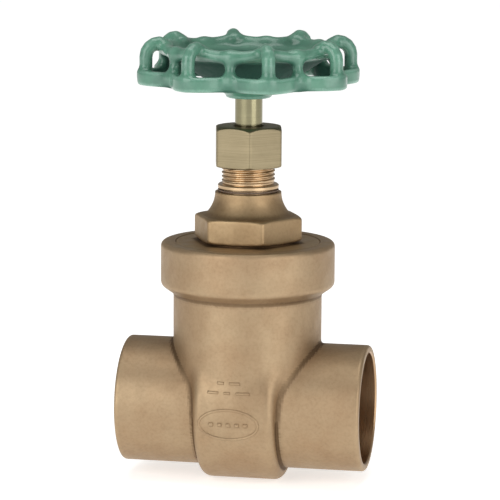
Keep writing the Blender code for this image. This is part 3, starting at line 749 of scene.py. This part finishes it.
def store_shelter(wheel):
    """Marks the dish's underside and the rim's inner face, for painted shade there and a duller
    paint.
    """
    count = len(wheel.data.vertices)
    places, normals = np.zeros(count * 3), np.zeros(count * 3)
    wheel.data.vertices.foreach_get("co", places)
    wheel.data.vertices.foreach_get("normal", normals)
    x, y, z = places.reshape(-1, 3).T / MM
    away = (x * normals[0::3] + y * normals[1::3]) / np.maximum(np.hypot(x, y), 1)
    faces_in = np.clip(1.6 * np.maximum(-normals[2::3], 0) + 1.2 * np.maximum(-away, 0), 0, 1)
    below = np.clip((UPPER_RING_HEIGHT - 1.0 - (z - RIM_BOTTOM)) / 2, 0, 1)
    above = np.clip((z - RIM_BOTTOM + 2.0) / 3, 0, 1)
    inner = np.clip((VALLEY_RADIUS + 3.0 - np.hypot(x, y)) / 3, 0, 1)
    shelter = wheel.data.attributes.new("shade_mask", "FLOAT", "POINT")
    shelter.data.foreach_set("value", (faces_in * below * above * inner).astype(np.float32))


WEDGE_RADIUS, WEDGE_HALF_THICKNESS = 21.3, 9.0
WEDGE_BOSS_RADIUS, WEDGE_BOSS_TOP = 8.2, 31.0
WEDGE_GROOVE_HALF_WIDTH, WEDGE_GROOVE_INNER = 2.5, 18.4
WEDGE_BORE_RADIUS, WEDGE_BORE_DEPTH = 5.3, 19.5


def wedge_field(x, y, z):
    disc = np.hypot(y, z) - WEDGE_RADIUS
    faces = (np.abs(x) - WEDGE_HALF_THICKNESS - z * math.tan(TAPER)) * math.cos(TAPER)
    solid = smooth_cut(disc, faces, 0.8)
    radius = np.hypot(x, y)
    boss = rounded_slab(radius, z, WEDGE_BOSS_RADIUS, 0, WEDGE_BOSS_TOP, 0.6)
    solid = smooth_union(solid, boss, 2.0)
    grooves = np.maximum(np.abs(x) - WEDGE_GROOVE_HALF_WIDTH, WEDGE_GROOVE_INNER - np.abs(y))
    bore = np.maximum(radius - WEDGE_BORE_RADIUS, -WEDGE_BORE_DEPTH - z)
    return np.maximum(np.maximum(solid, -grooves), -bore)


def make_wedge():
    return cast("gate_wedge", *node_size("wedge"), 0.45, wedge_field)


def make_tip_nut():
    low, high = node_size("handwheel_nut")
    field = nut_field(11.0, low.z, high.z, 0.0, (0.4, 0.8), 3.8, arris=0.4)
    return cast("tip_nut_hex", low, high, 0.18, field)


# ---------------------------------------------------------------- turned pieces


STEM_RADIUS, STEM_THREAD_RADIUS, STEM_TIP_RADIUS = 5.1, 5.0, 3.5
STEM_LEDGE, STEM_COLLAR_RADIUS, STEM_COLLAR_HEIGHT = 73.7, 8.6, 2.7
STEM_SQUARE = (114.6, 123.6)
STEM_SQUARE_HALF = 3.6
STEM_HOLE = STEM_RADIUS + GAP


def make_stem():
    """Left-hand thread for the gate, thrust collar, square for the wheel and threaded tip."""
    top, bottom, ledge = STEM_HIGH.z, STEM_LOW.z, STEM_LEDGE
    square_low, square_high = STEM_SQUARE
    step, bevel, lead_in, tip_lead_in = 0.01, 0.3, 0.8, 0.6
    collar_top = ledge + STEM_COLLAR_HEIGHT
    outline = [
        (0, top),
        (STEM_TIP_RADIUS - tip_lead_in, top),
        (STEM_TIP_RADIUS, top - tip_lead_in),
        (STEM_TIP_RADIUS, square_high + step),
        (STEM_RADIUS - step, square_high),
        (STEM_RADIUS - step, square_low),
        (STEM_RADIUS, square_low - step),
        (STEM_RADIUS, collar_top),
        (STEM_COLLAR_RADIUS - bevel, collar_top),
        (STEM_COLLAR_RADIUS, collar_top - bevel),
        (STEM_COLLAR_RADIUS, ledge + bevel),
        (STEM_COLLAR_RADIUS - bevel, ledge),
        (STEM_THREAD_RADIUS, ledge),
        (STEM_THREAD_RADIUS, bottom + lead_in),
        (STEM_THREAD_RADIUS - lead_in, bottom),
        (0, bottom),
    ]
    outline = fine_steps(outline, bottom, ledge, 0.25)
    outline = fine_steps(outline, square_high, top, 0.12)
    lead = thread(bottom, ledge - 3, 4.0, 0.9, left_hand=True)
    tip = thread(square_high + 1.5, top, 1.0, 0.45)

    def shape(radii, angles, heights):
        radii = np.where(heights < ledge, lead(radii, angles, heights), radii)
        radii = np.where(heights > square_high, tip(radii, angles, heights), radii)
        turned = angles + math.pi / 4
        flat = STEM_SQUARE_HALF / np.maximum(np.abs(np.cos(turned)), np.abs(np.sin(turned)))
        flat = np.broadcast_to(flat, radii.shape)
        in_square = (heights >= square_low) & (heights <= square_high) & (radii > STEM_SQUARE_HALF)
        return np.where(in_square, np.minimum(radii, flat), radii)

    return lathe("stem_spindle", outline, shape=shape)


BOX_NECK_RADIUS, BOX_THREAD_RADIUS, BOX_FLANGE_RADIUS, BOX_BORE = 9.9, 10.5, 11.3, 8.0
BOX_THREAD_PITCH, BOX_THREAD_DEPTH = 1.5, 0.55


def make_stuffing_box():
    """The threaded box between bonnet and packing nut, with its flange and its stepped bore."""
    low, high = node_size("stuffing_box")
    flange = node_size("stuffing_box_gasket")[1].z + GAP
    collar_room, shoulder, floor = BOX_NECK_RADIUS - 1.0, low.z + 4.5, low.z + 6.9
    relief = BOX_NECK_RADIUS - 0.4
    outline = [
        (BOX_BORE + 0.2, high.z),
        (relief, high.z),
        (BOX_NECK_RADIUS, high.z - 0.5),
        (BOX_NECK_RADIUS, flange + 2.9),
        (relief, flange + 2.5),
        (relief, flange + 1.9),
        (BOX_FLANGE_RADIUS - 0.4, flange + 1.7),
        (BOX_FLANGE_RADIUS, flange + 1.3),
        (BOX_FLANGE_RADIUS, flange + 0.3),
        (BOX_FLANGE_RADIUS - 0.3, flange),
        (BOX_THREAD_RADIUS, flange),
        (BOX_THREAD_RADIUS, low.z + 0.4),
        (BOX_THREAD_RADIUS - 0.4, low.z),
        (collar_room, low.z),
        (collar_room, shoulder),
        (STEM_HOLE, shoulder),
        (STEM_HOLE, floor),
        (BOX_BORE, floor),
        (BOX_BORE, high.z - 0.2),
    ]
    outline = fine_steps(outline, low.z, high.z, 0.16)
    upper = thread(flange + 2.6, high.z, BOX_THREAD_PITCH, BOX_THREAD_DEPTH)
    lower = thread(low.z, flange - 1.2, BOX_THREAD_PITCH, BOX_THREAD_DEPTH)

    def shape(radii, angles, heights):
        cut_upper = (radii > BOX_NECK_RADIUS - 0.1) & (heights > flange + 2.6)
        cut_lower = (radii > BOX_THREAD_RADIUS - 0.1) & (heights < flange)
        radii = np.where(cut_upper, upper(radii, angles, heights), radii)
        return np.where(cut_lower, lower(radii, angles, heights), radii)

    return lathe("stuffing_box_turned", outline, shape=shape)


def make_gland():
    low, high = node_size("packing_gland")
    flange = high.z - 2.0
    flange_radius, bush_radius = BOX_NECK_RADIUS - 0.3, BOX_BORE - GAP
    outline = [
        (STEM_HOLE, high.z),
        (flange_radius, high.z),
        (flange_radius, flange),
        (bush_radius, flange),
        (bush_radius, low.z),
        (STEM_HOLE, low.z),
    ]
    return lathe("gland_turned", rounded_corners(outline, 0.2))


def make_ring(node, inner, edge):
    """A washer, gasket or packing ring in the space of its CAD node."""
    low, high = node_size(node)
    return lathe(f"{node}_ring", ring(inner, high.x, low.z, high.z, edge))


def make_seat(node, side):
    """A seat ring, its inner face cut to the gate's taper."""
    inner = WEDGE_HALF_THICKNESS + GAP
    outer = SEAT_POCKET[1] - GAP
    seat_radius = SEAT_POCKET[0] - GAP
    outline = [
        (PORT_RADIUS, outer),
        (seat_radius, outer),
        (seat_radius, inner / 2),
        (PORT_RADIUS, inner / 2),
    ]
    seat = lathe(f"{node}_turned", rounded_corners(outline, 0.2), 128, along_x=True)
    reach = 60.0
    slanted = [(inner + z * math.tan(TAPER), z) for z in (reach, -reach)]
    corners = [(-reach, -reach), (-reach, reach), *slanted]
    vertices = [(x, y, z) for y in (-reach, reach) for x, z in corners]
    faces = [(0, 1, 2, 3), (7, 6, 5, 4), (0, 4, 5, 1), (1, 5, 6, 2), (2, 6, 7, 3), (3, 7, 4, 0)]
    cut_out(seat, new_object("taper", vertices, faces))
    if side < 0:
        seat.data.transform(Matrix.Rotation(math.pi, 4, "Z"))
    finish_shading(seat)
    return seat


def slab(points, low, high):
    """Vertices and faces of an upright plate with that outline."""
    count = len(points)
    vertices = [(x, y, low) for x, y in points] + [(x, y, high) for x, y in points]
    faces = [tuple(reversed(range(count))), tuple(range(count, 2 * count))]
    faces += [(i, (i + 1) % count, count + (i + 1) % count, count + i) for i in range(count)]
    return vertices, faces


def polar(radius, degrees):
    angle = math.radians(degrees)
    return (radius * math.cos(angle), radius * math.sin(angle))


def curved_arrow(radius, width, start, end, head):
    """The outline of an arrow bent round the stem, angles in degrees."""
    steps = 14
    angles = [start + (end - start) * i / steps for i in range(steps + 1)]
    outer = [polar(radius + width / 2, angle) for angle in angles]
    inner = [polar(radius - width / 2, angle) for angle in reversed(angles)]
    barb = width * 1.3
    point = [polar(radius + barb, end), polar(radius, end + head), polar(radius - barb, end)]
    return outer + point + inner


def join(name, parts, smooth_angle=35):
    """One object from several (vertices, faces) pairs."""
    vertices, faces = [], []
    for some_vertices, some_faces in parts:
        start = len(vertices)
        vertices += list(some_vertices)
        faces += [tuple(i + start for i in face) for face in some_faces]
    return new_object(name, vertices, faces, smooth_angle)


def make_plate():
    """The wheel's plate, with raised open and shut arrows and a rim bead."""
    low, high = node_size("id_plate")
    inner, outer = 5.4, high.x
    face = high.z - 0.2
    outline = [
        (outer, high.z - 0.1),
        (outer, low.z),
        (inner, low.z),
        (inner, face),
        (outer - 1.0, face),
        (outer - 0.8, high.z),
        (outer - 0.2, high.z),
    ]
    plate = lathe("wheel_plate", outline)
    arrows = [curved_arrow(8.2, 0.8, start, start + 95, 14) for start in (35, 215)]
    marks = join("wheel_plate_arrows", [slab(a, face - 0.1, high.z) for a in arrows])
    return plate, marks


# ---------------------------------------------------------------- the cast mark


def bead(route, radius, closed=False):
    """Vertices and faces of a round bead along a route on the body's front."""
    sides = 8
    count = len(route)
    route = [Vector(p) for p in route]
    vertices, faces = [], []
    for i, place in enumerate(route):
        after = route[(i + 1) % count] if closed or i + 1 < count else place
        before = route[i - 1] if closed or i > 0 else place
        ahead = (after - before).normalized()
        side = ahead.cross(Vector((0, -1, 0))).normalized()
        outward = side.cross(ahead).normalized()
        for k in range(sides):
            angle = 2 * math.pi * k / sides
            aside = side * math.cos(angle) + outward * math.sin(angle)
            vertices.append(place + aside * radius)
    spans = count if closed else count - 1
    for i in range(spans):
        for k in range(sides):
            j, m = (i + 1) % count, (k + 1) % sides
            faces.append((i * sides + k, i * sides + m, j * sides + m, j * sides + k))
    if not closed:
        faces.append(tuple(reversed(range(sides))))
        faces.append(tuple((count - 1) * sides + k for k in range(sides)))
    return vertices, faces


def front_surface(x, z):
    """The y at which the casting's front stands, found along the field."""
    near, far = 0.0, 60.0
    for _ in range(30):
        middle = (near + far) / 2
        value = float(body_outside(np.array(x), np.array(-middle), np.array(z)))
        near, far = (middle, far) if value < 0 else (near, middle)
    return -near


MARK_X, MARK_Z = -1.5, -2.6
MARK_SINK = 0.18
OVAL_HALF_WIDTH, OVAL_HALF_HEIGHT = 11.0, 5.6
PIPS, PIP_STEP, PIP_HALF_LENGTH = 5, 3.2, 0.7
DASH_ROWS = ((9.2, (4.0, 2.2, 5.0)), (12.8, (2.4, 3.8)))  # height, and each dash's length
DASH_SPACE = 2.2


def on_front(x, z):
    return (x, front_surface(x, z) + MARK_SINK, z)


def level_bead(start, end, z, radius, points):
    return bead([on_front(x, z) for x in np.linspace(start, end, points)], radius)


def make_mark():
    """A plain foundry mark: two rows of raised dashes, and an oval ring round a row of pips."""
    oval = []
    for i in range(72):
        angle = 2 * math.pi * i / 72
        x = MARK_X + OVAL_HALF_WIDTH * math.cos(angle)
        oval.append(on_front(x, MARK_Z + OVAL_HALF_HEIGHT * math.sin(angle)))
    parts = [bead(oval, 0.6, closed=True)]
    for i in range(PIPS):
        x = MARK_X + (i - (PIPS - 1) / 2) * PIP_STEP
        parts.append(level_bead(x - PIP_HALF_LENGTH, x + PIP_HALF_LENGTH, MARK_Z, 0.85, 5))
    for z, lengths in DASH_ROWS:
        x = MARK_X - (sum(lengths) + DASH_SPACE * (len(lengths) - 1)) / 2
        for length in lengths:
            parts.append(level_bead(x, x + length, z, 0.62, 8))
            x += length + DASH_SPACE
    return join("foundry_mark", parts, smooth_angle=180)


# ---------------------------------------------------------------- build


# Dark brown for the bronze's random specks and for the painted shade in its creases.
SPECK_AND_CREASE_SHADE_BROWN = (0.10, 0.056, 0.026)
FRESH_BRONZE, FRESH_BRONZE_DARK = (0.56, 0.40, 0.24), (0.26, 0.15, 0.08)
BODY_BRONZE = cast_bronze(
    "body_bronze", (0.395, 0.288, 0.176), (0.36, 0.248, 0.146), SPECK_AND_CREASE_SHADE_BROWN, grain=0.05
)
BONNET_BRONZE = cast_bronze(
    "bonnet_bronze", (0.40, 0.285, 0.16), (0.36, 0.245, 0.132), SPECK_AND_CREASE_SHADE_BROWN, grain=0.03
)
CUP_BRONZE = turned_metal(
    "cup_bronze", (0.52, 0.345, 0.20), (0.17, 0.095, 0.05), 0.30, along_x=True
)
TURNED_BRONZE = turned_metal("turned_bronze", FRESH_BRONZE, FRESH_BRONZE_DARK, 0.28)
SEAT_BRONZE = turned_metal("seat_bronze", FRESH_BRONZE, FRESH_BRONZE_DARK, 0.26, along_x=True)
NUT_BRASS = turned_metal("nut_brass", (0.305, 0.252, 0.155), (0.15, 0.115, 0.06), 0.44, marks=0.008)
STEM_BRASS = turned_metal("stem_brass", (0.25, 0.23, 0.14), (0.12, 0.10, 0.045), 0.14)
PLATE = turned_metal("plate_aluminium", (0.82, 0.82, 0.83), (0.55, 0.55, 0.56), 0.3)
STEEL = turned_metal("plated_steel", (0.70, 0.70, 0.67), (0.45, 0.45, 0.42), 0.25)
# Pale is the painted edge highlight, shade the painted shade under the dish; deep tints random
# clouds and paints the shade in corners.
ENAMEL = enamel(
    "green_enamel",
    base=(0.085, 0.235, 0.158),
    deep=(0.018, 0.075, 0.052),
    pale=(0.23, 0.42, 0.33),
    shade=(0.010, 0.042, 0.03),
)
FIBRE = packing("gasket_fibre", (0.20, 0.13, 0.08), (0.11, 0.07, 0.045), 0.5)
GRAPHITE = packing("packing_graphite", (0.09, 0.09, 0.09), (0.03, 0.03, 0.03), 1.1)


def install(obj, material, slot, body, *nodes):
    """Gives a piece its finish, the body it rides on and the CAD nodes it stands for."""
    obj.data.materials.clear()
    obj.data.materials.append(material)
    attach(obj, body)
    if nodes:
        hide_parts(*nodes)
    return obj


valve_body = install(make_body(), BODY_BRONZE, "body_bronze", "housing", "body")
finish_bore(valve_body, CUP_BRONZE)
install(make_mark(), BODY_BRONZE, "body_bronze", "housing")
install(make_bonnet(), BONNET_BRONZE, "bonnet_bronze", "housing", "bonnet")
install(make_packing_nut(), NUT_BRASS, "machined_brass", "housing", "packing_nut")
install(make_stuffing_box(), TURNED_BRONZE, "turned_bronze", "housing", "stuffing_box")
install(make_gland(), NUT_BRASS, "machined_brass", "housing", "packing_gland")
for seat_name, seat_side in (("seat_ring_right", 1), ("seat_ring_left", -1)):
    install(make_seat(seat_name, seat_side), SEAT_BRONZE, "turned_bronze", "housing", seat_name)
small_rings = [
    ("bonnet_gasket", 23.9, 0.2, FIBRE, "gasket_fibre"),
    ("stuffing_box_gasket", 10.8, 0.15, FIBRE, "gasket_fibre"),
    ("thrust_washer", STEM_HOLE, 0.15, NUT_BRASS, "machined_brass"),
    ("packing_washer", STEM_HOLE, 0.15, NUT_BRASS, "machined_brass"),
]
small_rings += [
    (f"packing_ring_{i}", STEM_HOLE, 0.8, GRAPHITE, "packing_graphite") for i in range(1, 5)
]
for node, inner, edge, material, slot in small_rings:
    install(make_ring(node, inner, edge), material, slot, "housing", node)
install(make_stem(), STEM_BRASS, "stem_brass", "stem_group", "stem")
install(make_wheel(), ENAMEL, "green_enamel", "stem_group", "handwheel")
wheel_plate, plate_arrows = make_plate()
install(wheel_plate, PLATE, "plate_aluminium", "stem_group", "id_plate")
install(plate_arrows, PLATE, "plate_aluminium", "stem_group")
install(make_ring("lock_washer", 3.8, 0.2), STEEL, "plated_steel", "stem_group", "lock_washer")
install(make_tip_nut(), NUT_BRASS, "machined_brass", "stem_group", "handwheel_nut")
install(make_wedge(), TURNED_BRONZE, "turned_bronze", "gate", "wedge")


# ---------------------------------------------------------------- stage, light and camera


def make_stage():
    """A wide pale floor at the foot of the valve."""
    floor = BODY_LOW.z - 0.2
    sides, reach = 64, 6000.0
    angles = [2 * math.pi * i / sides for i in range(sides)]
    vertices = [(reach * math.cos(a), reach * math.sin(a), floor) for a in angles]
    stage = new_object("studio_floor", vertices, [tuple(range(sides))], smooth_angle=60)
    paper = Finish("pale_paper", Emission_Color=(1, 1, 1, 1))
    grain = paper.span(paper.noise(60, detail=2), 0.3, 0.7)
    paper.colour(paper.mix(grain, (0.9, 0.9, 0.9), (0.93, 0.93, 0.93)))
    paper.shader.inputs["Roughness"].default_value = 0.9
    # The lamps light the floor less further off, so it glows more there and stays one tone.
    away = paper.nodes.new("ShaderNodeVectorMath")
    away.operation = "LENGTH"
    paper.links.new(paper.place, away.inputs[0])
    glow = paper.span(away.outputs["Value"], 0.15, 1.0, 0.57, 0.74)
    paper.links.new(glow, paper.shader.inputs["Emission Strength"])
    stage.data.materials.append(paper.material)


LIGHT_TARGET = Vector((0, 0, 0.05))


def softbox(name, place, size, power):
    light = bpy.data.lights.new(name, "AREA")
    light.shape = "RECTANGLE"
    light.size, light.size_y = size
    light.energy = power
    obj = bpy.data.objects.new(name, light)
    obj.location = place
    aim = LIGHT_TARGET - Vector(place)
    obj.rotation_euler = aim.to_track_quat("-Z", "Y").to_euler()
    bpy.context.scene.collection.objects.link(obj)


CAMERA_AZIMUTH = math.radians(11.2)
CAMERA_PITCH = math.radians(9.35)
CAMERA_DISTANCE = 1.016
CAMERA_ROLL = math.radians(0.35)
CAMERA_TARGET = Vector((0, 0, 0.057))
FOCAL_WIDTHS = 5.471
SHIFT = (0.0042, 0.0045)


def make_camera():
    data = bpy.data.cameras.new("camera")
    data.sensor_width = 36
    data.lens = FOCAL_WIDTHS * data.sensor_width
    data.shift_x, data.shift_y = SHIFT
    data.clip_end = 20
    camera = bpy.data.objects.new("camera", data)
    flat = math.cos(CAMERA_PITCH)
    aside, ahead = math.sin(CAMERA_AZIMUTH) * flat, -math.cos(CAMERA_AZIMUTH) * flat
    back = Vector((aside, ahead, math.sin(CAMERA_PITCH)))
    camera.location = CAMERA_TARGET + back * CAMERA_DISTANCE
    turn = (-back).to_track_quat("-Z", "Y").to_matrix() @ Matrix.Rotation(CAMERA_ROLL, 3, "Z")
    camera.rotation_euler = turn.to_euler()
    bpy.context.scene.collection.objects.link(camera)
    bpy.context.scene.camera = camera


def make_light():
    """Two softboxes with a gap between them, a third above, and a dim pale room."""
    softbox("key_left", (-0.62, -1.05, 0.46), (0.95, 0.9), 7.2)
    softbox("fill_right", (1.02, -0.72, 0.40), (0.9, 0.9), 6.2)
    softbox("top", (0.0, -0.1, 0.95), (0.8, 0.6), 3.4)
    world = bpy.data.worlds.new("studio")
    world.use_nodes = True
    background = world.node_tree.nodes["Background"]
    background.inputs["Color"].default_value = (1.0, 0.99, 0.97, 1)
    background.inputs["Strength"].default_value = 0.30
    bpy.context.scene.world = world
    bpy.context.scene.view_settings.view_transform = "Standard"


make_stage()
make_light()
make_camera()
